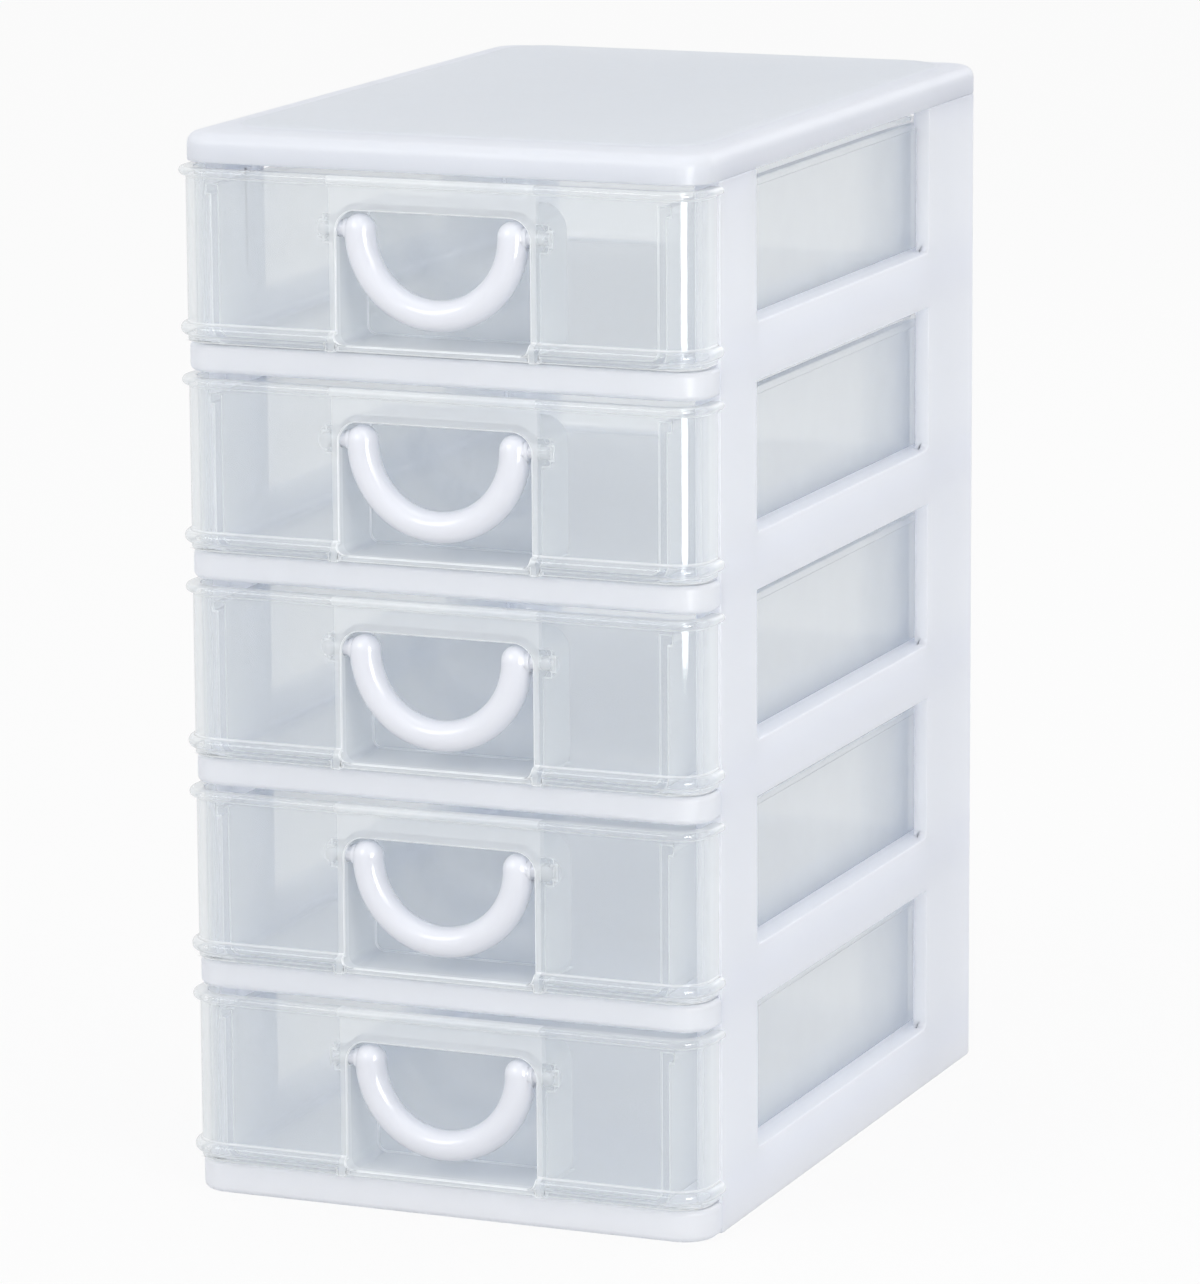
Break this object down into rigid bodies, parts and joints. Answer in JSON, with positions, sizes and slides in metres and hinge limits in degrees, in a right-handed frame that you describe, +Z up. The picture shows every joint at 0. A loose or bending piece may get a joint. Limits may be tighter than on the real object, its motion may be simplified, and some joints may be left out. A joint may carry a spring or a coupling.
{
  "type": "plastic drawer tower",
  "caption": "Desktop drawer tower with a white open-sided frame, rounded shelf lips and lid, clear pull-out drawers and glossy white swinging handles in recessed pockets.",
  "frame": {"origin": "middle of the tower's footprint, on the surface that it stands on", "axes": "+Z up, +Y to the back, so the drawers pull out along -Y, and +X to the right seen from the front"},
  "size_m": [0.1354, 0.1986, 0.2588],
  "materials": {
    "frame_white": "milky translucent white, satin",
    "drawer_clear": "clear with a faint haze, polished",
    "handle_white": "glossy white"
  },
  "bodies": {
    "frame": {"base": "frame_white", "left_side_frame": "frame_white", "right_side_frame": "frame_white", "top_cover": "frame_white", "shelf_1": "frame_white", "shelf_2": "frame_white", "shelf_3": "frame_white", "shelf_4": "frame_white"},
    "drawer_1": {"drawer_1": "drawer_clear"},
    "handle_1": {"handle_1": "handle_white"},
    "drawer_2": {"drawer_2": "drawer_clear"},
    "handle_2": {"handle_2": "handle_white"},
    "drawer_3": {"drawer_3": "drawer_clear"},
    "handle_3": {"handle_3": "handle_white"},
    "drawer_4": {"drawer_4": "drawer_clear"},
    "handle_4": {"handle_4": "handle_white"},
    "drawer_5": {"drawer_5": "drawer_clear"},
    "handle_5": {"handle_5": "handle_white"}
  },
  "joints": [
    {"name": "drawer_1_slide", "type": "slide", "parent": "frame", "child": "drawer_1", "axis": [0, -1, 0], "range_m": [0, 0.14]},
    {"name": "handle_1_swing", "type": "hinge", "parent": "drawer_1", "child": "handle_1", "pos_m": [0, -0.09485, 0.0373], "axis": [-1, 0, 0], "range_deg": [-25, 95]},
    {"name": "drawer_2_slide", "type": "slide", "parent": "frame", "child": "drawer_2", "axis": [0, -1, 0], "range_m": [0, 0.14]},
    {"name": "handle_2_swing", "type": "hinge", "parent": "drawer_2", "child": "handle_2", "pos_m": [0, -0.09485, 0.0873], "axis": [-1, 0, 0], "range_deg": [-25, 95]},
    {"name": "drawer_3_slide", "type": "slide", "parent": "frame", "child": "drawer_3", "axis": [0, -1, 0], "range_m": [0, 0.14]},
    {"name": "handle_3_swing", "type": "hinge", "parent": "drawer_3", "child": "handle_3", "pos_m": [0, -0.09485, 0.1373], "axis": [-1, 0, 0], "range_deg": [-25, 95]},
    {"name": "drawer_4_slide", "type": "slide", "parent": "frame", "child": "drawer_4", "axis": [0, -1, 0], "range_m": [0, 0.14]},
    {"name": "handle_4_swing", "type": "hinge", "parent": "drawer_4", "child": "handle_4", "pos_m": [0, -0.09485, 0.1873], "axis": [-1, 0, 0], "range_deg": [-25, 95]},
    {"name": "drawer_5_slide", "type": "slide", "parent": "frame", "child": "drawer_5", "axis": [0, -1, 0], "range_m": [0, 0.14]},
    {"name": "handle_5_swing", "type": "hinge", "parent": "drawer_5", "child": "handle_5", "pos_m": [0, -0.09485, 0.2373], "axis": [-1, 0, 0], "range_deg": [-25, 95]}
  ]
}
